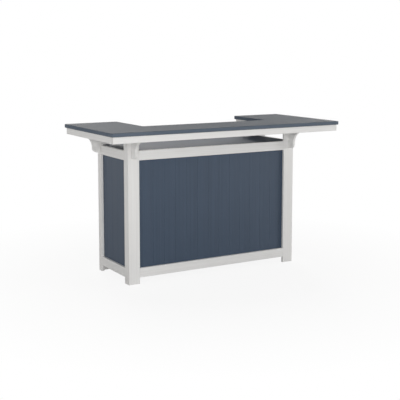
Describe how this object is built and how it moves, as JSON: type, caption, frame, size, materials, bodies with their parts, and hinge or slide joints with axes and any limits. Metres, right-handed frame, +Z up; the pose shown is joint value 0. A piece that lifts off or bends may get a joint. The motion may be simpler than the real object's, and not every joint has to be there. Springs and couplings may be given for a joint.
{
  "type": "outdoor bar table",
  "caption": "Free-standing outdoor bar: U-shaped overhanging top on cove corbels, white framed base with navy boarded panels, a work counter inside the U and an open shelved back.",
  "frame": {"origin": "on the floor under the middle of the top's outline", "axes": "+X to the right along the front, +Y to the servers' side at the back, +Z up"},
  "size_m": [1.829, 0.8, 1.073],
  "materials": {
    "white_board": "satin white plastic lumber",
    "navy_sheet": "satin slate navy plastic sheet",
    "screw_steel": "stainless, plain"
  },
  "bodies": {
    "root": {"apron_front": "white_board", "apron_notch_front": "white_board", "header_front": "white_board", "top_cleat_front": "white_board", "rail_front_top": "white_board", "rail_front_bottom": "white_board", "rail_rear_top": "white_board", "rail_rear_bottom": "white_board", "deck_cleat_front": "white_board", "deck_cleat_rear": "white_board", "shelf_cleat_front": "white_board", "counter_cleat_front": "white_board", "counter_cleat_rear": "white_board", "apron_left": "white_board", "apron_notch_left": "white_board", "apron_rear_left": "white_board", "header_left": "white_board", "top_cleat_left": "white_board", "front_stile_left": "white_board", "front_return_left": "white_board", "rear_stile_left": "white_board", "rear_return_left": "white_board", "corbel_front_left": "white_board", "corbel_rear_left": "white_board", "rail_left_top": "white_board", "rail_left_bottom": "white_board", "deck_cleat_left": "white_board", "shelf_cleat_left": "white_board", "counter_cleat_left": "white_board", "apron_right": "white_board", "apron_notch_right": "white_board", "apron_rear_right": "white_board", "header_right": "white_board", "top_cleat_right": "white_board", "front_stile_right": "white_board", "front_return_right": "white_board", "rear_stile_right": "white_board", "rear_return_right": "white_board", "corbel_front_right": "white_board", "corbel_rear_right": "white_board", "rail_right_top": "white_board", "rail_right_bottom": "white_board", "deck_cleat_right": "white_board", "shelf_cleat_right": "white_board", "counter_cleat_right": "white_board", "bar_top": "navy_sheet", "counter": "navy_sheet", "shelf": "navy_sheet", "deck": "navy_sheet", "divider_lower": "navy_sheet", "divider_upper": "navy_sheet", "panel_front": "navy_sheet", "panel_left": "navy_sheet", "panel_right": "navy_sheet"}
  },
  "joints": []
}
